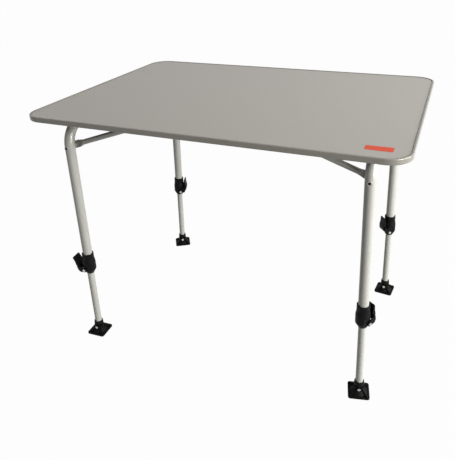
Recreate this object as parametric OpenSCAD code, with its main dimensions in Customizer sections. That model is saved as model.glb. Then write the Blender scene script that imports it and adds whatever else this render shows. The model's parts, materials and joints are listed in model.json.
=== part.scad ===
// Folding camping table with a laminate top, two nested U-shaped leg frames that fold under it,
// stays that lock each frame, and four legs that telescope in quick-clamp collars.
// Millimetres. The origin is on the floor under the middle of the top: +X right, +Y back, +Z up.

/* [Table top] */
// Length of the top over its edge trim
top_l = 1000; // [900:10:1200]
// Width of the top over its edge trim
top_w = 716; // [690:2:900]
// Height of the top above the floor, with the legs as they stand
top_h = 762; // [745:1:790]
// Radius of the four rounded corners
corner_r = 55; // [30:1:90]
// Thickness of the laminated board
board_t = 12; // [9:0.5:18]

/* [Edge trim] */
// Thickness of the aluminium edge profile's wall
trim_wall = 1.6; // [1:0.1:2.5]
// Thickness of the profile's lips above and below the board
trim_lip_t = 1.2; // [0.8:0.1:2]
// Width of the narrow lip that shows on top
trim_top_lip = 5; // [3:0.5:8]
// Depth of the rebate in the board that takes the top lip
lip_rebate = 0.3; // [0.2:0.05:0.5]
// Width of the fine groove between the top lip and the laminate's face
lip_groove = 0.6; // [0.3:0.1:1]
// Width of the lip under the board
trim_under_lip = 9; // [6:0.5:14]
// Radius on the outside edges of the profile
trim_edge_r = 2.4; // [0.5:0.1:4]
// Gap of the butt joint where the profile's two ends meet, at the back
trim_joint_gap = 0.4; // [0.2:0.1:1]

/* [Leg frames] */
// Distance of each frame's pivot from the middle of the top
pivot_x = 408; // [380:1:430]
// Depth of the pivot axis below the board
pivot_drop = 24; // [22:1:30]
// Distance of the outer, left frame's legs from the long edges of the top
left_leg_inset = 64; // [48:1:68]
// Distance by which the inner, right frame's legs nest inside the left ones
leg_nest = 42; // [38:1:59]
// Outward lean of the standing legs in degrees
leg_splay = 1.75; // [0:0.05:3]
// Outside radius of the frame tube
frame_r = 14; // [13.5:0.5:14.5]
// Wall of the frame tube
frame_wall = 1.5; // [1:0.1:2]
// Centre-line radius of the frame's two bends
frame_bend_r = 62; // [50:1:70]
// Angle through which a frame folds
fold_angle = 86; // [80:1:87]

/* [Pivot saddles] */
// Distance of each saddle from the middle of the frame's cross tube
saddle_y = 150; // [100:1:165]
// Length of a saddle along the tube
saddle_l = 34; // [24:1:44]
// Wall of the saddle under the tube
saddle_wall = 3; // [2:0.5:4]
// Length of the screwed flanges, over both
flange_l = 76; // [70:1:90]
// Thickness of the flanges
flange_t = 4; // [3:0.5:6]

/* [Stays] */
// Distance below the top of the rivet that joins a stay to its leg
stay_rivet_drop = 102; // [94:1:112]
// Length of a stay from its rivet to its glide
stay_len = 240; // [230:1:250]
// Outside radius of the stay tube
stay_r = 7.5; // [6:0.5:8]
// Thickness of the flattened ends
stay_flat_t = 4; // [3:0.5:5]
// Height of the flattened end at the leg
stay_flat_h = 21; // [18:1:24]
// Clear width between a stay tube and its leg
stay_side_gap = 0.5; // [0.3:0.1:1.5]
// Radius of the rivet that joins a stay to its leg
stay_rivet_r = 3; // [2.5:0.1:3.5]

/* [Stay tracks] */
// Distance of the glide's centre below the board
glide_drop = 10; // [9:0.5:12]
// Radius of the glide
glide_r = 6; // [5:0.5:7]
// Width of the glide over its two discs
glide_w = 13; // [12:0.5:14]
// Inside width of the track
track_in_w = 16; // [15:0.5:18]
// Wall of the track
track_wall = 1.6; // [1.2:0.1:2]
// Depth of the track below the board
track_depth = 18; // [15:0.5:22]
// Width of each screwed flange of the track
track_flange = 10; // [9:0.5:14]

/* [Clamp collars] */
// Height of a collar's lower edge above the floor
collar_h = 238; // [215:1:260]
// Height of a collar
collar_l = 71; // [68:1:76]
// Radius of the cup round the frame tube
cup_r = 17.6; // [17:0.1:19]
// Radius of the collar's body
collar_r = 19.8; // [19:0.1:20.5]
// Height of the body's slanted foot
collar_foot_l = 13; // [10:1:16]
// Height in the collar at which the frame tube ends
tube_seat = 30; // [28:1:36]
// Half the width across the flats that carry the lever
collar_flat = 16.5; // [15.5:0.1:17]

/* [Clamp levers] */
// Distance of the lever's pin from the leg's axis
lever_pin_u = 8; // [7:0.5:9]
// Height of the lever's pin in the collar
lever_pin_w = 15; // [14:0.5:18]
// Radius of the lever's pin
lever_pin_r = 2.5; // [2:0.1:3]
// Thickness of the lever's cheeks
cheek_t = 3; // [2:0.5:4]
// Length of the lever from its pin to its tip
lever_len = 50; // [44:1:54]
// Angle by which the front left lever stands open in degrees
front_left_open = 27; // [0:1:40]

/* [Inner legs] */
// Outside radius of the telescoping tube
inner_r = 10.5; // [10:0.1:11]
// Wall of the telescoping tube
inner_wall = 1.5; // [1:0.1:2]
// Length of the telescoping tube inside the frame tube
inner_overlap = 115; // [70:1:120]
// Length of the guide bush at its top
bush_l = 30; // [20:1:40]

/* [Feet] */
// Side of the square foot plate
foot_side = 60; // [54:1:64]
// Thickness of the foot plate at its edge
foot_plate_t = 4.5; // [3.5:0.5:6]
// Radius of the plate's corners
foot_corner_r = 7; // [4:0.5:10]
// Height of the foot's rivet above the floor
foot_pin_h = 21; // [20:0.5:24]
// Inside radius of the foot's cup
foot_cup_in_r = 12.6; // [12.6:0.1:13.5]
// Wall of the foot's cup
foot_cup_wall = 2.2; // [1.8:0.1:3]
// Height of the cup's rim above its rivet
foot_cup_rise = 5; // [4.5:0.1:5]
// Radius of the foot's rivet
foot_pin_r = 2.5; // [2:0.1:3]

/* [Fits] */
// Radial clearance of everything that turns or slides in a round hole
run_gap = 0.05; // [0.03:0.01:0.08]
// Clearance beside flat pieces that turn on each other
side_gap = 0.3; // [0.2:0.05:0.5]

/* [Hidden] */
$fn = 48;
// Overlap that makes cuts run clear of a face
cut = 0.5;
LEFT = -1;
RIGHT = 1;
FRONT = -1;
BACK = 1;

// Levels of the top
board_top = top_h - trim_lip_t;
board_bottom = board_top - board_t;
trim_h = board_t + 2 * trim_lip_t;
trim_bottom = top_h - trim_h;
face_inset = trim_top_lip + lip_groove;
pivot_z = board_bottom - pivot_drop;
glide_z = board_bottom - glide_drop;

// Screws: shank, head and the length in the board
saddle_screw_r = 2;
track_screw_r = 1.6;
screw_bite = 8;
screw_head_t = 2.2;
screw_inset = 8;
saddle_screw_x = flange_l / 2 - screw_inset;

// Half the spacing of each frame's legs
left_leg_y = top_w / 2 - left_leg_inset;
right_leg_y = left_leg_y - leg_nest;

// Stays: the rivet's height, the side distance to the leg, the spacer between them and the slope at rest
stay_rivet_h = top_h - stay_rivet_drop;
stay_inset = frame_r + stay_side_gap + stay_r;
spacer_l = stay_inset - frame_r - stay_flat_t / 2;
stay_rivet_x = pivot_x + (pivot_z - stay_rivet_h) * tan(leg_splay);
stay_slope = asin((glide_z - stay_rivet_h) / stay_len);
glide_x = stay_rivet_x - stay_len * cos(stay_slope);
rivet_arm = (pivot_z - stay_rivet_h) / cos(leg_splay);
folded_lean = fold_angle - leg_splay;
folded_slope = asin((glide_z - pivot_z + rivet_arm * cos(folded_lean)) / stay_len);
glide_folded_x = pivot_x - rivet_arm * sin(folded_lean) - stay_len * cos(folded_slope);

// Track: it runs from the stop to a little past the folded glide
stop_l = 4;
stop_rise = 2;
track_out_x = glide_x + glide_r + stop_l;
track_spare = 9;
track_in_x = glide_folded_x - glide_r - track_spare;
track_l = track_out_x - track_in_x;

// Legs, measured along the leg from the pivot, and the feet
inner_past_pin = 7;
foot_cup_depth = 10.5;
frame_end_s = leg_run(collar_h + tube_seat);
collar_s = leg_run(collar_h);
inner_top_s = frame_end_s - inner_overlap;
inner_end_s = leg_run(foot_pin_h) + inner_past_pin;
foot_x = pivot_x + (pivot_z - foot_pin_h) * tan(leg_splay);
foot_floor_z = foot_pin_h - foot_cup_depth;
foot_cup_r = foot_cup_in_r + foot_cup_wall;

function leg_run(height) = (pivot_z - height) / cos(leg_splay);
function leg_y(side) = side == LEFT ? left_leg_y : right_leg_y;
// Direction in which each clamp's lever points, in degrees from +X
function lever_turn(side, end) = side == LEFT ? (end == FRONT ? 184 : 20) : (end == FRONT ? 52 : 215);
// Direction of each foot, in degrees
function foot_turn(side, end) = side == LEFT ? (end == FRONT ? 3 : 31.5) : (end == FRONT ? 12.9 : -5.8);

// Places children in a leg frame's own frame, with the pivot at the origin and the legs along -Z
module at_frame(side) {
    translate([side * pivot_x, 0, pivot_z])
        rotate([0, -side * leg_splay, 0])
            children();
}

// Places children on one leg's axis, at a distance along it from the pivot
module at_leg(side, end, s) {
    at_frame(side)
        translate([0, end * leg_y(side), -s])
            children();
}

// Places children at a foot, with the floor at Z = 0
module at_foot(side, end) {
    translate([side * foot_x, end * leg_y(side), 0])
        rotate([0, 0, foot_turn(side, end)])
            children();
}

// Places children at a stay's rivet, with the stay along +X
module at_stay(side, end) {
    translate([side * stay_rivet_x, end * (leg_y(side) - stay_inset), stay_rivet_h])
        rotate([0, 0, side == LEFT ? 0 : 180])
            rotate([0, -stay_slope, 0])
                children();
}

// Places children in a track's own frame: under the board, with X the distance from the middle of the top
module at_track(side, end) {
    translate([0, end * (leg_y(side) - stay_inset), board_bottom])
        mirror([side == LEFT ? 1 : 0, 0, 0])
            children();
}

module rod_y(r, from, to) {
    translate([0, from, 0])
        rotate([-90, 0, 0])
            cylinder(r = r, h = to - from);
}

module rounded_rect(l, w, r) {
    square([l - 2 * r, w], center = true);
    square([l, w - 2 * r], center = true);
    for (sx = [-1, 1], sy = [-1, 1])
        translate([sx * (l / 2 - r), sy * (w / 2 - r)])
            circle(r = r);
}

// Table top
module saddle_screw_spots() {
    for (side = [LEFT, RIGHT], end = [FRONT, BACK], sx = [-1, 1])
        translate([side * pivot_x + sx * saddle_screw_x, end * saddle_y, board_bottom])
            children();
}

module track_screw_spots() {
    for (side = [LEFT, RIGHT], end = [FRONT, BACK])
        at_track(side, end)
            for (x = [track_in_x + screw_inset, track_out_x - screw_inset], sy = [-1, 1])
                translate([x, sy * (track_in_w / 2 + track_wall + track_flange / 2), 0])
                    children();
}

module table_board() {
    color("#b4b1a6")
        difference() {
            union() {
                translate([0, 0, board_bottom])
                    linear_extrude(board_t - lip_rebate)
                        rounded_rect(top_l - 2 * trim_wall, top_w - 2 * trim_wall, corner_r - trim_wall);
                translate([0, 0, board_bottom + board_t / 2])
                    linear_extrude(board_t / 2)
                        rounded_rect(top_l - 2 * face_inset, top_w - 2 * face_inset, corner_r - face_inset);
            }
            saddle_screw_spots()
                translate([0, 0, -cut])
                    cylinder(r = saddle_screw_r, h = screw_bite + cut);
            track_screw_spots()
                translate([0, 0, -cut])
                    cylinder(r = track_screw_r, h = screw_bite + cut);
        }
}

// Section of the edge profile: the wall's outside is at X = 0 and the lips reach inwards
module trim_section() {
    difference() {
        union() {
            translate([-trim_under_lip, 0])
                square([trim_under_lip - trim_edge_r, trim_h]);
            translate([-2 * trim_edge_r, trim_edge_r])
                square([2 * trim_edge_r, trim_h - 2 * trim_edge_r]);
            for (y = [trim_edge_r, trim_h - trim_edge_r])
                translate([-trim_edge_r, y])
                    circle(r = trim_edge_r);
        }
        translate([-trim_under_lip - cut, trim_lip_t])
            square([trim_under_lip - trim_wall + cut, board_t - lip_rebate]);
        translate([-trim_under_lip - cut, trim_h / 2])
            square([trim_under_lip - trim_top_lip + cut, trim_h]);
    }
}

module trim_side(length, reach) {
    translate([0, reach, trim_bottom])
        rotate([90, 0, 90])
            translate([0, 0, -length / 2])
                linear_extrude(length)
                    trim_section();
}

module edge_trim() {
    color("#c9c7c0")
        difference() {
            union() {
                for (a = [0, 180])
                    rotate([0, 0, a])
                        trim_side(top_l - 2 * corner_r, top_w / 2);
                for (a = [90, 270])
                    rotate([0, 0, a])
                        trim_side(top_w - 2 * corner_r, top_l / 2);
                for (k = [0:3])
                    translate([
                        (k == 0 || k == 3 ? 1 : -1) * (top_l / 2 - corner_r),
                        (k < 2 ? 1 : -1) * (top_w / 2 - corner_r),
                        trim_bottom
                    ])
                        rotate([0, 0, 90 * k])
                            rotate_extrude(angle = 90)
                                translate([corner_r, 0])
                                    trim_section();
            }
            translate([-trim_joint_gap / 2, top_w / 2 - 2 * trim_under_lip, trim_bottom - cut])
                cube([trim_joint_gap, 3 * trim_under_lip, trim_h + 2 * cut]);
        }
}

// Pivot saddles
module saddle(side, end) {
    color("#1d1d1c")
        translate([side * pivot_x, end * saddle_y, pivot_z])
            difference() {
                rotate([90, 0, 0])
                    linear_extrude(saddle_l, center = true)
                        difference() {
                            union() {
                                circle(r = frame_r + saddle_wall);
                                translate([-frame_r - saddle_wall, 0])
                                    square([2 * (frame_r + saddle_wall), pivot_drop]);
                                translate([-flange_l / 2, pivot_drop - flange_t])
                                    square([flange_l, flange_t]);
                            }
                            circle(r = frame_r + run_gap);
                        }
                for (sx = [-1, 1])
                    translate([sx * saddle_screw_x, 0, pivot_drop - flange_t - cut])
                        cylinder(r = saddle_screw_r, h = flange_t + 2 * cut);
            }
}

module screw(r, grip) {
    translate([0, 0, -grip])
        cylinder(r = r, h = grip + screw_bite);
    difference() {
        translate([0, 0, -grip - screw_head_t])
            cylinder(r1 = 1.6 * r, r2 = 2 * r, h = screw_head_t);
        for (a = [0, 90])
            rotate([0, 0, a])
                translate([-r, -r / 5, -grip - screw_head_t - cut])
                    cube([2 * r, 2 * r / 5, cut + screw_head_t / 2]);
    }
}

module saddle_screws() {
    color("#b9b9b6")
        saddle_screw_spots()
            screw(saddle_screw_r, flange_t);
}

// Stay tracks and their stops
module stay_track(side, end) {
    half = track_in_w / 2;
    color("#c2c1bb")
        difference() {
            at_track(side, end)
                translate([track_in_x, 0, 0])
                    rotate([90, 0, 90])
                        linear_extrude(track_l)
                            difference() {
                                union() {
                                    translate([-half - track_wall, -track_depth])
                                        square([track_in_w + 2 * track_wall, track_depth]);
                                    translate([-half - track_wall - track_flange, -track_wall])
                                        square([track_in_w + 2 * (track_wall + track_flange), track_wall]);
                                }
                                translate([-half, -track_depth - cut])
                                    square([track_in_w, track_depth - track_wall + cut]);
                            }
            track_screw_spots()
                translate([0, 0, -track_wall - cut])
                    cylinder(r = track_screw_r, h = track_wall + 2 * cut);
        }
}

// Stop against which the glide rests while the frame stands, slotted for the stay's flat tip
module stay_stop(side, end) {
    bottom = stop_rise - glide_drop;
    bridge_t = 1.4;
    near = glide_x + glide_r / 3;
    color("#20201f")
        at_track(side, end)
            difference() {
                translate([near, -track_in_w / 2, bottom])
                    cube([track_out_x - near, track_in_w, -track_wall - bottom]);
                translate([glide_x, 0, -glide_drop])
                    rod_y(glide_r + side_gap, -track_in_w, track_in_w);
                translate([near - cut, -stay_flat_t / 2 - 2 * side_gap, bottom - cut])
                    cube([track_out_x, stay_flat_t + 4 * side_gap, -track_wall - bridge_t - bottom + cut]);
            }
}

module track_screws() {
    color("#b9b9b6")
        track_screw_spots()
            screw(track_screw_r, track_wall);
}

// Leg frames: one bent tube each
module bent_rod(half_w, r, over) {
    straight = half_w - frame_bend_r;
    rod_y(r, -straight, straight);
    for (end = [FRONT, BACK]) {
        translate([0, end * straight, -frame_bend_r])
            rotate([0, -90, 0])
                rotate([0, 0, end == BACK ? 0 : -90])
                    rotate_extrude(angle = 90)
                        translate([frame_bend_r, 0])
                            circle(r = r);
        translate([0, end * half_w, -frame_end_s - over])
            cylinder(r = r, h = frame_end_s - frame_bend_r + over);
    }
}

module leg_frame(side) {
    color("#c6c5c0")
        difference() {
            at_frame(side)
                difference() {
                    bent_rod(leg_y(side), frame_r, 0);
                    bent_rod(leg_y(side), frame_r - frame_wall, cut);
                }
            for (end = [FRONT, BACK])
                translate([side * stay_rivet_x, end * leg_y(side), stay_rivet_h])
                    rod_y(stay_rivet_r, -2 * frame_r, 2 * frame_r);
        }
}

// Rivets and spacers that carry the stays on the legs
module at_stay_rivet(side, end) {
    translate([side * stay_rivet_x, end * leg_y(side), stay_rivet_h])
        mirror([0, end == BACK ? 1 : 0, 0])
            children();
}

module stay_rivets(side) {
    head_r = stay_rivet_r + 2.8;
    head_t = 2;
    inner_face = stay_inset + stay_flat_t / 2 + side_gap;
    color("#d7d6d2")
        for (end = [FRONT, BACK])
            at_stay_rivet(side, end) {
                rod_y(stay_rivet_r, -frame_r - head_t, inner_face + head_t);
                rod_y(head_r, inner_face, inner_face + head_t);
                difference() {
                    rod_y(head_r, -frame_r - head_t, -frame_r + head_t);
                    rotate([0, -side * leg_splay, 0])
                        cylinder(r = frame_r + run_gap, h = 4 * head_r, center = true);
                }
            }
}

module stay_spacers(side) {
    color("#232322")
        difference() {
            for (end = [FRONT, BACK])
                at_stay_rivet(side, end)
                    difference() {
                        rod_y(stay_flat_h / 2 - 2, frame_r - 3, frame_r + spacer_l - side_gap);
                        rod_y(stay_rivet_r, 0, 4 * frame_r);
                    }
            at_frame(side)
                bent_rod(leg_y(side), frame_r + run_gap, 0);
        }
}

// Stays: a tube flattened at both ends
module flat_end(h, from, to, hole_r) {
    difference() {
        union() {
            rod_y(h / 2, -stay_flat_t / 2, stay_flat_t / 2);
            translate([min(from, to), -stay_flat_t / 2, -h / 2])
                cube([abs(to - from), stay_flat_t, h]);
        }
        rod_y(hole_r, -stay_flat_t, stay_flat_t);
    }
}

// Neck between a flat end and the tube: it starts a little way inside each of them
module stay_neck(flat_h, from, to) {
    way = to > from ? 1 : -1;
    skin = 0.05;
    hull() {
        translate([from - way / 2, 0, 0])
            cube([1, stay_flat_t - 2 * skin, flat_h - 2 * skin], center = true);
        translate([to + way / 2 - 0.5, 0, 0])
            rotate([0, 90, 0])
                cylinder(r = stay_r - skin, h = 1, $fn = 32);
    }
}

module stay(side, end) {
    neck = 16;
    leg_flat = stay_flat_h / 2 + 6;
    tip_h = 2 * glide_r - 1;
    tip_flat = glide_r + 4;
    waist_r = glide_r / 2 + run_gap;
    color("#c6c5c0")
        at_stay(side, end) {
            flat_end(stay_flat_h, 0, leg_flat, stay_rivet_r + run_gap);
            stay_neck(stay_flat_h, leg_flat, leg_flat + neck);
            translate([leg_flat + neck, 0, 0])
                rotate([0, 90, 0])
                    cylinder(r = stay_r, h = stay_len - tip_flat - leg_flat - 2 * neck);
            stay_neck(tip_h, stay_len - tip_flat, stay_len - tip_flat - neck);
            translate([stay_len, 0, 0])
                flat_end(tip_h, -tip_flat, 0, waist_r);
        }
}

module stay_glide(side, end) {
    cheek = stay_flat_t / 2 + side_gap;
    color("#20201f")
        at_stay(side, end)
            translate([stay_len, 0, 0]) {
                rod_y(glide_r / 2, -glide_w / 2, glide_w / 2);
                rod_y(glide_r, -glide_w / 2, -cheek);
                rod_y(glide_r, cheek, glide_w / 2);
            }
}

// Clamp collars, with the lever's side along +X
module at_collar(side, end) {
    at_leg(side, end, collar_s)
        rotate([0, 0, lever_turn(side, end)])
            children();
}

module collar_body() {
    shoulder_low = 40;
    shoulder_high = 53;
    difference() {
        rotate_extrude()
            polygon([
                [inner_r + run_gap, 0],
                [inner_r + 1.6, 0],
                [collar_r - 0.6, collar_foot_l],
                [collar_r, collar_foot_l + 2],
                [collar_r, shoulder_low],
                [cup_r, shoulder_high],
                [cup_r, collar_l - 1],
                [cup_r - 1, collar_l],
                [frame_r + 0.6, collar_l],
                [frame_r + run_gap, collar_l - 1.5],
                [frame_r + run_gap, tube_seat],
                [inner_r + run_gap, tube_seat]
            ]);
        // Flats on which the lever's cheeks turn
        for (sy = [-1, 1])
            translate([-collar_r * 2 / 3, sy > 0 ? collar_flat : -collar_flat - collar_r, -cut])
                cube([2 * collar_r, collar_r, shoulder_low - 4 + cut]);
        // The split that lets the collar close on the inner leg
        translate([0, -1.25, -cut])
            cube([2 * collar_r, 2.5, tube_seat - 2 + cut]);
        for (sy = [-1, 1])
            translate([lever_pin_u, 0, lever_pin_w])
                rod_y(lever_pin_r, sy > 0 ? inner_r + 1 : -3 * collar_r, sy > 0 ? 3 * collar_r : -inner_r - 1);
    }
}

module collar(side, end) {
    color("#171716")
        at_collar(side, end)
            collar_body();
}

module lever_pins(side, end) {
    face = collar_flat + 2 * side_gap + cheek_t;
    head_t = 1.4;
    color("#d7d6d2")
        at_collar(side, end)
            for (sy = [-1, 1])
                mirror([0, sy > 0 ? 0 : 1, 0])
                    translate([lever_pin_u, 0, lever_pin_w]) {
                        rod_y(lever_pin_r, inner_r + 1, face + head_t);
                        rod_y(lever_pin_r + 1.8, face, face + head_t);
                    }
}

// Lever: a yoke whose cheeks turn on the pins and whose handle lies along the collar
module lever_body() {
    web_u = collar_r + 1.2 - lever_pin_u;
    web_low = 5.2;
    cheek_out = collar_flat + side_gap + cheek_t;
    knuckle_w = 20;
    difference() {
        union() {
            for (sy = [-1, 1])
                translate([0, sy > 0 ? cheek_out : -collar_flat - side_gap, 0])
                    rotate([90, 0, 0])
                        linear_extrude(cheek_t) {
                            circle(r = 7);
                            polygon([[-3, 6.3], [0, -7], [web_u + 3, -1], [web_u + 6.5, 8],
                                [web_u + 5, knuckle_w], [web_u, knuckle_w]]);
                        }
            translate([0, cheek_out, 0])
                rotate([90, 0, 0])
                    linear_extrude(2 * cheek_out)
                        polygon([[web_u, web_low], [web_u + 3.8, web_low - 1.5], [web_u + 6.5, 8],
                            [web_u + 5, knuckle_w], [web_u, knuckle_w]]);
            translate([0, cheek_out - 5, 0])
                rotate([90, 0, 0])
                    linear_extrude(2 * cheek_out - 10) {
                        polygon([[web_u, knuckle_w - 1], [web_u + 5, knuckle_w - 1], [web_u + 3.6, lever_len - 12],
                            [web_u + 5.5, lever_len - 4], [web_u + 2, lever_len - 3], [web_u - 0.4, lever_len - 14]]);
                        translate([web_u + 3.2, lever_len - 3.4])
                            circle(r = 2.8);
                    }
        }
        rod_y(lever_pin_r + run_gap, -3 * collar_r, 3 * collar_r);
    }
}

module lever(side, end) {
    open = side == LEFT && end == FRONT ? front_left_open : 0;
    color("#141413")
        at_collar(side, end)
            translate([lever_pin_u, 0, lever_pin_w])
                rotate([0, open, 0])
                    lever_body();
}

// Telescoping inner legs
module guide_bush(side, end) {
    color("#2a2a29")
        at_leg(side, end, inner_top_s + bush_l)
            difference() {
                cylinder(r = frame_r - frame_wall - run_gap, h = bush_l + 2.5);
                translate([0, 0, -cut])
                    cylinder(r = inner_r + run_gap, h = bush_l + cut + side_gap);
                cylinder(r = inner_r - 3, h = bush_l + 2.5 + cut);
            }
}

module inner_leg(side, end) {
    color("#c6c5c0")
        difference() {
            at_leg(side, end, inner_end_s)
                difference() {
                    cylinder(r = inner_r, h = inner_end_s - inner_top_s);
                    translate([0, 0, -cut])
                        cylinder(r = inner_r - inner_wall, h = inner_end_s - inner_top_s + 2 * cut);
                }
            at_foot(side, end)
                translate([0, 0, foot_pin_h])
                    rod_y(foot_pin_r, -2 * inner_r, 2 * inner_r);
        }
}

module foot_rivet(side, end) {
    face = foot_cup_r + side_gap;
    head_t = 1.5;
    color("#d7d6d2")
        at_foot(side, end)
            translate([0, 0, foot_pin_h]) {
                rod_y(foot_pin_r, -face - head_t, face + head_t);
                rod_y(foot_pin_r + 1.7, face, face + head_t);
                rod_y(foot_pin_r + 1.7, -face - head_t, -face);
            }
}

// Feet: a square plate, a low pyramid with ribs to its corners, and a cup round the leg
module foot_body() {
    half = foot_side / 2;
    rib_top = foot_pin_h - 2;
    difference() {
        union() {
            linear_extrude(foot_plate_t)
                rounded_rect(foot_side, foot_side, foot_corner_r);
            translate([0, 0, foot_plate_t - 1])
                cylinder(r1 = half * 0.86, r2 = foot_cup_r, h = foot_pin_h * 0.5);
            cylinder(r = foot_cup_r, h = foot_pin_h + foot_cup_rise);
            for (k = [0:3])
                rotate([0, 0, 45 + 90 * k])
                    rotate([90, 0, 0])
                        linear_extrude(3, center = true)
                            polygon([[0, 1], [half * 1.25, 1], [half * 1.25, foot_plate_t + 0.8],
                                [foot_cup_r + 1, rib_top], [0, rib_top]]);
        }
        translate([0, 0, foot_floor_z])
            cylinder(r = foot_cup_in_r, h = foot_pin_h + foot_cup_rise);
        translate([0, 0, foot_pin_h])
            rod_y(foot_pin_r + run_gap, -foot_side, foot_side);
    }
}

module foot(side, end) {
    color("#161615")
        at_foot(side, end)
            foot_body();
}

table_board();
edge_trim();
saddle(LEFT, FRONT);  // saddle_left_front
saddle(LEFT, BACK);  // saddle_left_back
saddle(RIGHT, FRONT);  // saddle_right_front
saddle(RIGHT, BACK);  // saddle_right_back
saddle_screws();
stay_track(LEFT, FRONT);  // stay_track_left_front
stay_track(LEFT, BACK);  // stay_track_left_back
stay_track(RIGHT, FRONT);  // stay_track_right_front
stay_track(RIGHT, BACK);  // stay_track_right_back
stay_stop(LEFT, FRONT);  // stay_stop_left_front
stay_stop(LEFT, BACK);  // stay_stop_left_back
stay_stop(RIGHT, FRONT);  // stay_stop_right_front
stay_stop(RIGHT, BACK);  // stay_stop_right_back
track_screws();
leg_frame(LEFT);  // left_leg_frame
leg_frame(RIGHT);  // right_leg_frame
stay_rivets(LEFT);  // stay_rivets_left
stay_rivets(RIGHT);  // stay_rivets_right
stay_spacers(LEFT);  // stay_spacers_left
stay_spacers(RIGHT);  // stay_spacers_right
stay(LEFT, FRONT);  // stay_left_front
stay(LEFT, BACK);  // stay_left_back
stay(RIGHT, FRONT);  // stay_right_front
stay(RIGHT, BACK);  // stay_right_back
stay_glide(LEFT, FRONT);  // stay_glide_left_front
stay_glide(LEFT, BACK);  // stay_glide_left_back
stay_glide(RIGHT, FRONT);  // stay_glide_right_front
stay_glide(RIGHT, BACK);  // stay_glide_right_back
collar(LEFT, FRONT);  // collar_left_front
collar(LEFT, BACK);  // collar_left_back
collar(RIGHT, FRONT);  // collar_right_front
collar(RIGHT, BACK);  // collar_right_back
lever_pins(LEFT, FRONT);  // lever_pins_left_front
lever_pins(LEFT, BACK);  // lever_pins_left_back
lever_pins(RIGHT, FRONT);  // lever_pins_right_front
lever_pins(RIGHT, BACK);  // lever_pins_right_back
lever(LEFT, FRONT);  // lever_left_front
lever(LEFT, BACK);  // lever_left_back
lever(RIGHT, FRONT);  // lever_right_front
lever(RIGHT, BACK);  // lever_right_back
guide_bush(LEFT, FRONT);  // guide_bush_left_front
guide_bush(LEFT, BACK);  // guide_bush_left_back
guide_bush(RIGHT, FRONT);  // guide_bush_right_front
guide_bush(RIGHT, BACK);  // guide_bush_right_back
inner_leg(LEFT, FRONT);  // inner_leg_left_front
inner_leg(LEFT, BACK);  // inner_leg_left_back
inner_leg(RIGHT, FRONT);  // inner_leg_right_front
inner_leg(RIGHT, BACK);  // inner_leg_right_back
foot_rivet(LEFT, FRONT);  // foot_rivet_left_front
foot_rivet(LEFT, BACK);  // foot_rivet_left_back
foot_rivet(RIGHT, FRONT);  // foot_rivet_right_front
foot_rivet(RIGHT, BACK);  // foot_rivet_right_back
foot(LEFT, FRONT);  // foot_left_front
foot(LEFT, BACK);  // foot_left_back
foot(RIGHT, FRONT);  // foot_right_front
foot(RIGHT, BACK);  // foot_right_back
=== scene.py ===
# %% [markdown]
# # A folding camping table
# A laminate top in an aluminium edge profile stands on two bent-tube leg frames, with stays that lock
# them and four legs that telescope in quick-clamp collars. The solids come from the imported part, so
# they are the same in every tool. Blender's share is the look: finishes at their real scale, a few
# small pieces such as the bare label, the light and the camera.

import json
import math

import bmesh
import bpy
from mathutils import Matrix, Vector


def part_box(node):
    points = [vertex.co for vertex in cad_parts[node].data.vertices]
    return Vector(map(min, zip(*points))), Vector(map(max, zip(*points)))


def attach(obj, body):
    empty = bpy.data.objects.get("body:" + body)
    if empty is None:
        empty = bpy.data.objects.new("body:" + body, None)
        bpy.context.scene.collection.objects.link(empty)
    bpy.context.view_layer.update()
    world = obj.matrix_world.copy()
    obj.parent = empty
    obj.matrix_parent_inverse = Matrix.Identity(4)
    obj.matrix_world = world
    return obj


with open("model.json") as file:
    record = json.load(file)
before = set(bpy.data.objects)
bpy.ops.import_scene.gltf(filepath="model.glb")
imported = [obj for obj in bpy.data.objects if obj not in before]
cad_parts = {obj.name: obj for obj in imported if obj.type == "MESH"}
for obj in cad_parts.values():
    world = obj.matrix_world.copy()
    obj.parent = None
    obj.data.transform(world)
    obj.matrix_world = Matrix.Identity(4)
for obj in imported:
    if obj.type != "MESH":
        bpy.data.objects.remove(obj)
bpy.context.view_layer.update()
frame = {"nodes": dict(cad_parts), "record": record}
nodes = frame["nodes"]

# %% [markdown]
# ## Shader maths as plain expressions
# A material is a graph of nodes, which soon grows hard to read in code. Here a small class wraps one
# socket, so that `1 - worn * 0.3` adds its Math nodes by itself. Numbers that need no node stay in
# Python.

# %% A socket that can be used in an expression
class Value:
    def __init__(self, finish, socket):
        self.finish = finish
        self.socket = socket

    def work(self, operation, *values):
        return self.finish.node("ShaderNodeMath", {"operation": operation}, list(values))

    def __add__(self, other):
        return self.work("ADD", self, other)

    def __sub__(self, other):
        return self.work("SUBTRACT", self, other)

    def __rsub__(self, other):
        return self.work("SUBTRACT", other, self)

    def __mul__(self, other):
        return self.work("MULTIPLY", self, other)

    def __pow__(self, other):
        return self.work("POWER", self, other)

    def __lt__(self, other):
        return self.work("LESS_THAN", self, other)

    def at_least(self, other):
        return self.work("MAXIMUM", self, other)

    def at_most(self, other):
        return self.work("MINIMUM", self, other)

    def size(self):
        return self.work("ABSOLUTE", self)

    __radd__ = __add__
    __rmul__ = __mul__


# %% [markdown]
# ## One place that makes nodes
# Every other node comes from a single method: its type, its settings, then the values or links of its
# sockets. The rest of the class holds the few habits that all the finishes of the table share.

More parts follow.
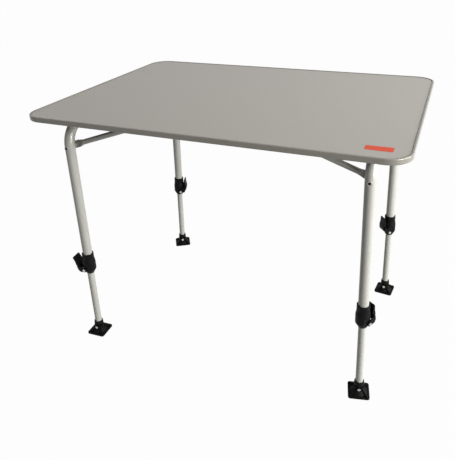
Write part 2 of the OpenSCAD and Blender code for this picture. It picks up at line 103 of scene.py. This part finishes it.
# %% A finish: one material and its shader
class Finish:
    def __init__(self, name, **constants):
        self.material = bpy.data.materials.new(name)
        self.material.use_nodes = True
        self.tree = self.material.node_tree
        self.tree.nodes.clear()
        self.shader = self.tree.nodes.new("ShaderNodeBsdfPrincipled")
        self.out = self.tree.nodes.new("ShaderNodeOutputMaterial")
        self.tree.links.new(self.shader.outputs[0], self.out.inputs[0])
        for socket, value in constants.items():
            self.put(self.shader.inputs[socket.replace("_", " ")], value)

    def put(self, socket, value):
        if isinstance(value, Value):
            self.tree.links.new(value.socket, socket)
        else:
            socket.default_value = value

    def node(self, kind, settings=None, inputs=None, output=0):
        made = self.tree.nodes.new(kind)
        for name, value in (settings or {}).items():
            setattr(made, name, value)
        pairs = inputs.items() if isinstance(inputs, dict) else enumerate(inputs or [])
        for name, value in pairs:
            self.put(made.inputs[name], value)
        return Value(self, made.outputs[output])

    def place(self, squeeze=(1, 1, 1)):
        """The shaded point in metres. A high number along an axis squeezes a pattern along it."""
        at = self.node("ShaderNodeTexCoord", output="Object")
        return self.node("ShaderNodeMapping", {}, {"Vector": at, "Scale": squeeze})

    def grain(self, scale, squeeze=(1, 1, 1), detail=3, roughness=0.6):
        """Noise with about this many patches to a metre."""
        return self.node("ShaderNodeTexNoise", {}, {
            "Vector": self.place(squeeze), "Scale": scale, "Detail": detail, "Roughness": roughness})

    def between(self, amount, first, second):
        return self.node("ShaderNodeMix", {"data_type": "RGBA"}, {0: amount, 6: first, 7: second}, 2)

    def colour(self, value):
        self.put(self.shader.inputs["Base Color"], value)

    def roughness(self, value):
        self.put(self.shader.inputs["Roughness"], value)

    def relief(self, height, depth):
        bump = {"Height": height, "Strength": 1.0, "Distance": depth}
        self.put(self.shader.inputs["Normal"], self.node("ShaderNodeBump", {}, bump, "Normal"))


def linear(level):
    """One channel of a screen colour, 0 to 255, as the linear number that a shader works with."""
    share = level / 255
    return share / 12.92 if level < 10.3 else ((share + 0.055) / 1.055) ** 2.4


def rgb(red, green, blue):
    """A screen colour as a shader takes it, fully opaque."""
    return linear(red), linear(green), linear(blue), 1


print("a mid grey in linear numbers:", [round(c, 3) for c in rgb(128, 128, 128)])

# %% [markdown]
# ## The laminate
# The top is a thin sheet with a fine silvery stipple over a warm grey, sealed satin. A picture could be
# laid on it, but noise at the scale of a grain of sand never repeats and stays sharp from close by. A
# dark line of painted shadow runs beside the metal lip, where the lip's edge shades the laminate. Its
# distance comes from the shape of a rounded rectangle, worked out in the shader from the part's sizes, so
# that it follows the corners.

# %% The laminate's sizes, in metres
CORNER = 0.055  # radius of the top's corners
LIP = 0.005  # width of metal over the laminate
LIP_SHADOW_WIDTH = 0.0014  # width of the dark line inside the lip
trim_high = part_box("edge_trim")[1]
half_long = trim_high.x
half_wide = trim_high.y
print("top over its trim:", round(half_long * 2, 4), "by", round(half_wide * 2, 4))


def edge_distance(finish):
    """How far inside the outline of the top a point lies."""
    at = finish.node("ShaderNodeTexCoord", output="Object")
    x = finish.node("ShaderNodeSeparateXYZ", {}, [at], 0)
    y = finish.node("ShaderNodeSeparateXYZ", {}, [at], 1)
    across = x.size() - (half_long - CORNER)
    along = y.size() - (half_wide - CORNER)
    round_part = (across.at_least(0) ** 2 + along.at_least(0) ** 2) ** 0.5
    straight_part = across.at_least(along).at_most(0)
    return CORNER - (round_part + straight_part)


# %% The laminate
laminate = Finish("silver_laminate", Specular_IOR_Level=0.25)
stipple = laminate.grain(900, detail=2, roughness=0.5)
cloud = laminate.grain(5, (1, 1.6, 1), roughness=0.5)
ground = laminate.between(cloud, rgb(156, 151, 144), rgb(164, 160, 153))
dots = (stipple - 0.44) * 3.2  # noise keeps near its middle, so its range is spread out
speckled = laminate.between(dots, ground, rgb(176, 172, 165))
# The dark line beside the lip is painted shadow: the shade that the lip's edge casts on the laminate.
lip_shadow = edge_distance(laminate) < LIP + LIP_SHADOW_WIDTH
laminate.colour(laminate.between(lip_shadow * 0.8, speckled, rgb(52, 49, 44)))
laminate.roughness(0.36 + 0.1 * cloud)
laminate.relief(stipple, 0.00004)
print("laminate nodes:", len(laminate.tree.nodes))

# %% [markdown]
# ## Satin aluminium
# Drawn aluminium keeps faint lines along its length and anodising softens its shine. The lines could be
# cut as real scratches, but noise squeezed across the tube draws them with no more geometry. Metallic
# is low, so the tone comes from the tube's own colour more than from what it mirrors. The stays, the
# edge profile and the tracks are drawn too, so one function makes all four finishes, each with its own
# squeeze and tone.

# %% A family of drawn aluminium finishes
def drawn_aluminium(name, squeeze, dark, light, smooth, metal):
    finish = Finish(name, Metallic=metal, Specular_IOR_Level=0.3)
    lines = finish.grain(1, squeeze, roughness=0.55)
    smudge = finish.grain(1, (6, 6, 6))
    tone = (0.55 * lines + 0.45 * smudge - 0.5) * 1.6 + 0.5  # spread about its middle
    finish.colour(finish.between(tone, dark, light))
    finish.roughness(smooth + 0.12 * smudge)
    finish.relief(lines, 0.000006)
    return finish


ALONG_Z, ALONG_X, AROUND_EDGE = (500, 500, 6), (8, 500, 500), (40, 40, 700)
tube = drawn_aluminium("satin_tube", ALONG_Z, rgb(159, 158, 151), rgb(181, 180, 173), 0.24, 0.13)
stay_tube = drawn_aluminium("satin_stay", ALONG_X, rgb(142, 139, 132), rgb(162, 159, 152), 0.32, 0.22)
# The edge profile's tone is darker than the tubes' as painted shade, standing for the shade on its front
# face, which is turned away from the lamps.
profile = drawn_aluminium("edge_profile", AROUND_EDGE, rgb(122, 119, 111), rgb(142, 139, 130), 0.22, 0.22)
track = drawn_aluminium("mill_track", ALONG_X, rgb(138, 137, 132), rgb(160, 159, 154), 0.36, 0.3)
print("aluminium finishes:", [f.material.name for f in (tube, stay_tube, profile, track)])

# %% [markdown]
# ## Bright rivets, pins and screws
# They are zinc-plated steel, a hard shine under a cloudy bloom. A plain metal would look like chrome.
# Voronoi cells give the crystal patches of the plating, which show only as small changes of tone and
# gloss.

# %% Zinc-plated steel
zinc = Finish("zinc_plated_steel", Metallic=1.0)
crystals = zinc.node("ShaderNodeTexVoronoi", {}, {"Vector": zinc.place(), "Scale": 1400}, "Distance")
zinc.colour(zinc.between(crystals, rgb(214, 214, 210), rgb(176, 176, 170)))
zinc.roughness(0.2 + 0.2 * crystals)
zinc.relief(crystals, 0.00002)
print("zinc nodes:", len(zinc.tree.nodes))

# %% [markdown]
# ## Black nylon
# The clamps, saddles and feet are moulded in black nylon with a fine spark texture, which turns grey
# where it is handled. One flat black would look painted, so one noise stands for the mould's texture
# and a coarser one for handling. A low specular level keeps it from looking like polished plastic.

# %% Moulded black plastics
def moulded(name, low, high, smooth, depth):
    finish = Finish(name, Specular_IOR_Level=0.08)
    spark = finish.grain(1600)
    handled = finish.grain(26)
    finish.colour(finish.between(0.35 * spark + (handled - 0.4) * 0.9, low, high))
    finish.roughness(smooth + 0.16 * handled)
    finish.relief(spark, depth)
    return finish


nylon = moulded("black_nylon", rgb(5, 5, 5), rgb(19, 19, 18), 0.42, 0.00006)
foot_nylon = moulded("foot_nylon", rgb(5, 5, 5), rgb(20, 20, 19), 0.46, 0.00008)
print("plastics:", nylon.material.name, foot_nylon.material.name)

# %% [markdown]
# ## Dressing the solids
# The record names a finish slot for every solid. One table joins these slots to the materials above,
# and a second one holds the first words of names whose solids look unlike the rest of their slot. The
# stays are drawn along their own length, their rivets are as pale as the tubes, and their spacers look
# like the tracks.

# %% Give each solid its finish
by_slot = {
    "top_laminate": laminate,
    "trim_aluminium": profile,
    "track_aluminium": track,
    "tube_aluminium": tube,
    "bright_steel": zinc,
    "black_plastic": nylon,
    "foot_plastic": foot_nylon,
}
by_name = {
    "stay_left": stay_tube,
    "stay_right": stay_tube,
    "stay_rivets": tube,
    "stay_spacers": track,
}
dressed = 0
for part in frame["record"]["subparts"]:
    finish = by_slot[part["material_slot"]]
    for start, other in by_name.items():
        if part["node"].startswith(start):
            finish = other
    for slot in nodes[part["node"]].material_slots:
        slot.material = finish.material
        dressed += 1
print("slots dressed:", dressed)

# %% [markdown]
# ## Moulded grips
# Seen close, the clamp levers swell into a thick grip. It could be sculpted, but it is only a side
# outline with a width, so a helper pulls the outline out and a bevel rounds the edges as a mould would.
# Every piece that is added here rides with one body of the part, so it moves as the real one does.

# %% A finished mesh becomes a piece of the table
def add_piece(name, mesh, place, body, finish):
    """Makes an object of a mesh, puts it in its place and has it ride with a body of the part."""
    data = bpy.data.meshes.new(name)
    mesh.to_mesh(data)
    mesh.free()
    data.materials.append(finish.material)
    piece = bpy.data.objects.new(name, data)
    bpy.context.scene.collection.objects.link(piece)
    piece.matrix_world = place
    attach(piece, body)
    return piece


def pulled(outline, offset):
    """A solid between an outline and the same outline moved by the offset."""
    mesh = bmesh.new()
    near = [mesh.verts.new(point) for point in outline]
    far = [mesh.verts.new(Vector(point) + Vector(offset)) for point in outline]
    mesh.faces.new(near)
    mesh.faces.new(far[::-1])
    pairs = list(zip(near, far))
    for (low, high), (low_ahead, high_ahead) in zip(pairs, pairs[1:] + pairs[:1]):
        mesh.faces.new((low_ahead, low, high, high_ahead))
    bmesh.ops.recalc_face_normals(mesh, faces=mesh.faces)
    return mesh


def moulding(outline, half_width, edge):
    """A side outline pulled to its width, with every edge rounded."""
    mesh = pulled([(out, -half_width, up) for out, up in outline], (0, 2 * half_width, 0))
    bmesh.ops.bevel(mesh, geom=list(mesh.edges), offset=edge, segments=3, profile=0.6, affect="EDGES")
    for side in mesh.faces:
        side.smooth = True
    return mesh


# %% Where the clamps and feet stand, in metres
PIVOT_X, PIVOT_Z, LEAN = 0.408, 0.7248, math.radians(1.75)  # frame pivots, and the legs' lean
COLLAR_Z, PIN_OUT, PIN_UP = 0.238, 0.008, 0.015  # collar's lower edge, and the lever's pin in it
FOOT_PIN_Z, RIVET_Z, HEAD_FACE = 0.021, 0.660, 0.0160  # foot rivet, stay rivet and its head's face
LEFT_Y, RIGHT_Y = 0.294, 0.252  # half of each frame's width: the right one nests in the left one
corners = {  # side, leg's y, lever's heading, lever's opening
    "left_front": (-1, -LEFT_Y, 184, 27),
    "left_back": (-1, LEFT_Y, 20, 0),
    "right_front": (1, -RIGHT_Y, 52, 0),
    "right_back": (1, RIGHT_Y, 215, 0),
}
print("corners:", list(corners))


# %% Places on the legs and levers
def turn(degrees, axis):
    return Matrix.Rotation(math.radians(degrees), 4, axis)


def on_leg(side, y, height):
    """The place on a leg's axis at which the upright height is reached, turned with the leg."""
    pivot = Matrix.Translation((side * PIVOT_X, y, PIVOT_Z)) @ Matrix.Rotation(-side * LEAN, 4, "Y")
    return pivot @ Matrix.Translation((0, 0, -(PIVOT_Z - height) / math.cos(LEAN)))


def on_lever(side, y, heading, opened):
    """The place of a lever's pins, turned to its heading and opened as in the picture."""
    pin = Matrix.Translation((PIN_OUT, 0, PIN_UP))
    return on_leg(side, y, COLLAR_Z) @ turn(heading, "Z") @ pin @ turn(opened, "Y")


def on_rivet_head(side, y):
    """The middle of a stay rivet's outer head, with Z pointing out of it."""
    x = side * (PIVOT_X + (PIVOT_Z - RIVET_Z) * math.tan(LEAN))
    face = Matrix.Translation((x, y + math.copysign(HEAD_FACE, y), RIVET_Z))
    return face @ turn(90 if y < 0 else -90, "X")


feet = [on_leg(side, y, FOOT_PIN_Z).translation for side, y, _, _ in corners.values()]
print("foot rivets:", [[round(v, 3) for v in foot] for foot in feet])

# %% The grips
# Each point lies so far out from the lever's pins and so far up from them
GRIP = [(0.0165, 0.006), (0.0205, 0.006), (0.0225, 0.014), (0.0225, 0.024), (0.0200, 0.034),
        (0.0195, 0.044), (0.0185, 0.0512), (0.0150, 0.0515), (0.0138, 0.044), (0.0142, 0.030)]
GRIP_HALF, GRIP_EDGE = 0.0148, 0.0011
for corner, (side, y, heading, opened) in corners.items():
    grip = moulding(GRIP, GRIP_HALF, GRIP_EDGE)
    at = on_lever(side, y, heading, opened)
    add_piece("lever_grip_" + corner, grip, at, "lever_" + corner + "_yoke", nylon)
print("grips:", len(corners))

# %% [markdown]
# ## Turned sleeves, and discs of painted shade in the rivet holes
# A black sleeve closes the end of each leg above its foot, with a narrow neck inside the foot's cup so
# that the foot can tilt. The stays hang on hollow rivets. The shade in the hole of each rivet's head on
# the outside of each leg is painted as a thin black disc. Both are round. Cylinders could be stacked
# for them, but a section turned about an axis, as on a lathe, gives the small curves too, and one helper
# serves both.

# %% A section turned about the Z axis
AROUND = 48  # points in each ring


def turned(section):
    """Joins the rings of neighbouring points, and the last ring back to the first."""
    mesh = bmesh.new()
    angles = [math.tau * step / AROUND for step in range(AROUND)]
    rings = [[mesh.verts.new((radius * math.cos(a), radius * math.sin(a), height)) for a in angles]
             for radius, height in section]
    for ring, above in zip(rings, rings[1:] + rings[:1]):
        for step in range(AROUND):
            ahead = (step + 1) % AROUND
            mesh.faces.new((ring[step], ring[ahead], above[ahead], above[step])).smooth = True
    bmesh.ops.remove_doubles(mesh, verts=mesh.verts, dist=1e-6)
    bmesh.ops.recalc_face_normals(mesh, faces=mesh.faces)
    return mesh


# %% The sleeves, and a black disc of painted shade in each rivet's hole
# Each point is a radius and a height over the foot's rivet or over the face of the rivet's head
SLEEVE = [(0.01045, 0.0035), (0.0110, 0.0035), (0.0110, 0.0084), (0.0136, 0.0087), (0.0143, 0.0094),
          (0.0145, 0.0105), (0.0144, 0.0125), (0.0135, 0.0205), (0.0133, 0.0214), (0.0128, 0.0221),
          (0.0120, 0.0224), (0.0107, 0.0222), (0.01045, 0.0216)]
# A thin black disc of painted shade, laid on each rivet's head where its hole is
RIVET_HOLE_SHADE = [(0, -0.0004), (0.0033, -0.0004), (0.0033, 0.0001), (0.0029, 0.0004), (0, 0.0004)]
for corner, (side, y, _, _) in corners.items():
    foot = on_leg(side, y, FOOT_PIN_Z)
    head = on_rivet_head(side, y)
    leg_frame = "left_frame" if side < 0 else "right_frame"
    add_piece("foot_sleeve_" + corner, turned(SLEEVE), foot, "leg_" + corner, foot_nylon)
    add_piece("rivet_hole_shade_" + corner, turned(RIVET_HOLE_SHADE), head, leg_frame, nylon)
print("sleeves and rivet centres:", 2 * len(corners))

# %% [markdown]
# ## The label
# A small orange-red label lies near the front right corner of the top. Here it stays bare. It could be
# painted in the laminate's shader, but a real film has an edge that catches the light. So an outline
# with round corners is filled and given a thickness.

# %% A film with round corners
def film(length, width, thick, radius):
    """Turns each corner in six steps of 15 degrees."""
    outline = []
    for corner in range(4):
        sx = 1 if corner in (0, 3) else -1
        sy = 1 if corner in (0, 1) else -1
        for step in range(7):
            angle = math.radians(90 * corner + 15 * step)
            x = sx * (length / 2 - radius) + radius * math.cos(angle)
            y = sy * (width / 2 - radius) + radius * math.sin(angle)
            outline.append((x, y, 0))
    return pulled(outline, (0, 0, thick))


# %% The finish of the film
red_film = Finish("red_film", Specular_IOR_Level=0.15)
fade = red_film.grain(60)
red_film.colour(red_film.between(fade, rgb(200, 56, 20), rgb(214, 74, 30)))
red_film.roughness(0.3 + 0.15 * fade)
red_film.relief(red_film.grain(700, detail=2, roughness=0.5), 0.00003)
print("film nodes:", len(red_film.tree.nodes))

# %% The label on the laminate, in metres
LABEL_X, LABEL_Y = 0.4280, -0.3015
LABEL_LONG, LABEL_WIDE, LABEL_THICK, LABEL_CORNER = 0.061, 0.0255, 0.00035, 0.002
FILM_SUNK = 0.00005  # keeps its underside off the laminate's own face
board_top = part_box("table_board")[1].z
at = Matrix.Translation((LABEL_X, LABEL_Y, board_top - FILM_SUNK))
red_mesh = film(LABEL_LONG, LABEL_WIDE, LABEL_THICK, LABEL_CORNER)
label = add_piece("bare_label", red_mesh, at, "top", red_film)
print("label size:", [round(v, 4) for v in label.dimensions])

# %% [markdown]
# ## Floor and surroundings
# The table stands on a plain white floor that runs far back. A floor that glows white would light the
# table from below as well, so its material asks what kind of ray arrives. The camera and shiny metal
# see a clean white, and all other light meets a matt grey. A small share of that grey shows in the
# white, so the soft shadow stays. From below the floor is clear, to let the camera look up through it.

# %% The floor
FLOOR_SIZE, FLOOR_Z = 80, -0.0005  # metres, a hair below the feet
SHARE_OF_WHITE = 0.98  # the small rest is the matt floor, which takes the shadow


def white_floor():
    bpy.ops.mesh.primitive_plane_add(size=FLOOR_SIZE, location=(0, 0, FLOOR_Z))
    floor = bpy.context.object
    floor.name = "studio_floor"
    matt_grey = {"Base_Color": (0.16, 0.16, 0.16, 1), "Roughness": 0.9, "Specular_IOR_Level": 0.1}
    finish = Finish("white_floor", **matt_grey)
    rays = ("Is Camera Ray", "Is Glossy Ray", "Is Transmission Ray")
    seen, mirrored, through = (finish.node("ShaderNodeLightPath", output=ray) for ray in rays)
    glow = finish.node("ShaderNodeEmission", {}, {"Color": (1, 1, 1, 1), "Strength": 1.0})
    matt = Value(finish, finish.shader.outputs[0])
    pale = finish.node("ShaderNodeMixShader", {}, [SHARE_OF_WHITE, matt, glow])
    shown = (seen + mirrored + through).at_most(1)
    above = finish.node("ShaderNodeMixShader", {}, [shown, matt, pale])
    below = finish.node("ShaderNodeNewGeometry", output="Backfacing")
    clear = finish.node("ShaderNodeBsdfTransparent")
    both_sides = finish.node("ShaderNodeMixShader", {}, [below, above, clear])
    finish.put(finish.out.inputs["Surface"], both_sides)
    floor.data.materials.append(finish.material)
    return floor


print("floor:", white_floor().name)

# %% [markdown]
# ## Light
# Product pictures use large soft lamps. A wide one on the right lights the side of each tube, a
# narrower one nearer the camera draws the bright line down its middle, a weak one overhead lights the
# top, and the world fills in the rest. Rays that the camera sends straight past the table, and those
# that shiny metal mirrors, see plain white instead of that weak fill.

# %% The world
WORLD_FILL = 0.06
world = bpy.data.worlds.new("studio")
bpy.context.scene.world = world
world.use_nodes = True
sky = world.node_tree
sky.nodes.clear()
fill, white = (sky.nodes.new("ShaderNodeBackground") for _ in range(2))
path = sky.nodes.new("ShaderNodeLightPath")
seen, seen_or_clear = (sky.nodes.new("ShaderNodeMath") for _ in range(2))
choose = sky.nodes.new("ShaderNodeMixShader")
shown = sky.nodes.new("ShaderNodeOutputWorld")
for start, end in (
    (path.outputs["Is Camera Ray"], seen.inputs[0]),
    (path.outputs["Is Glossy Ray"], seen.inputs[1]),
    (seen.outputs[0], seen_or_clear.inputs[0]),
    (path.outputs["Is Transmission Ray"], seen_or_clear.inputs[1]),
    (seen_or_clear.outputs[0], choose.inputs[0]),
    (fill.outputs[0], choose.inputs[1]),
    (white.outputs[0], choose.inputs[2]),
    (choose.outputs[0], shown.inputs[0]),
):
    sky.links.new(start, end)
seen.use_clamp = seen_or_clear.use_clamp = True
for background in (fill, white):
    background.inputs["Color"].default_value = (1, 1, 1, 1)
fill.inputs["Strength"].default_value = WORLD_FILL
print("world fill:", WORLD_FILL, "links:", len(sky.links))

# %% The lamps
MIDDLE = Vector((0, 0, 0.45))  # every lamp looks at it


def soft_lamp(name, place, width, height, watts):
    lamp = bpy.data.lights.new(name, "AREA")
    lamp.shape = "RECTANGLE"
    lamp.size = width
    lamp.size_y = height
    lamp.energy = watts
    holder = bpy.data.objects.new(name, lamp)
    holder.location = place
    holder.rotation_euler = (MIDDLE - Vector(place)).to_track_quat("-Z", "Y").to_euler()
    bpy.context.scene.collection.objects.link(holder)
    return holder


lamps = [
    soft_lamp("key_right", (3.3, 0.35, 1.4), 1.5, 2.0, 126),
    soft_lamp("streak_front_right", (3.05, -1.3, 1.3), 1.3, 2.2, 140),
    soft_lamp("overhead", (0.3, 0.5, 3.2), 2.4, 1.8, 26),
]
print("lamps:", [lamp.name for lamp in lamps])

# %% [markdown]
# ## Camera
# The photograph is taken from the front, a little to the right and well above the top. A camera could
# be moved by eye until the views agree, but its place, turn and lens were worked out instead, from
# lines and points of the table that the picture shows. The point that the lens looks at lies off the
# middle, as in a picture that was cut to size, and the two shifts put it there.

# %% What was measured
PICTURE = (455, 460)  # pixels across and down
FOCAL = 508.53  # pixels
CENTRE = (244.92, 192.45)  # the pixel that the lens looks at
YAW, PITCH, ROLL = 0.395853, 0.460187, 0.029323  # radians
PLACE = (0.54936, -1.33645, 1.16315)  # metres
print("camera stands", round(Vector(PLACE).length, 2), "m from the middle of the floor")

# %% The three directions of the camera
forward = Vector((-math.sin(YAW) * math.cos(PITCH), math.cos(YAW) * math.cos(PITCH), -math.sin(PITCH)))
level = Vector((math.cos(YAW), math.sin(YAW), 0))
down = forward.cross(level)
across = math.cos(ROLL) * level + math.sin(ROLL) * down
upward = math.sin(ROLL) * level - math.cos(ROLL) * down
print("camera looks along", [round(v, 3) for v in forward])

# %% The camera that took the picture
SENSOR = 36  # millimetres, which the longer side of the picture fills
lens = bpy.data.cameras.new("photo_camera")
lens.sensor_width = SENSOR
lens.lens = SENSOR * FOCAL / max(PICTURE)
lens.shift_x = (PICTURE[0] / 2 - CENTRE[0]) / max(PICTURE)
lens.shift_y = (CENTRE[1] - PICTURE[1] / 2) / max(PICTURE)
lens.clip_end = 200  # metres, past the far edge of the floor
camera = bpy.data.objects.new("photo_camera", lens)
bpy.context.scene.collection.objects.link(camera)
aim = Matrix((across, upward, -forward)).transposed().to_4x4()
camera.matrix_world = Matrix.Translation(PLACE) @ aim
bpy.context.scene.camera = camera
bpy.context.scene.view_settings.view_transform = "Standard"
print("lens:", round(lens.lens, 2), "shift:", round(lens.shift_x, 4), round(lens.shift_y, 4))
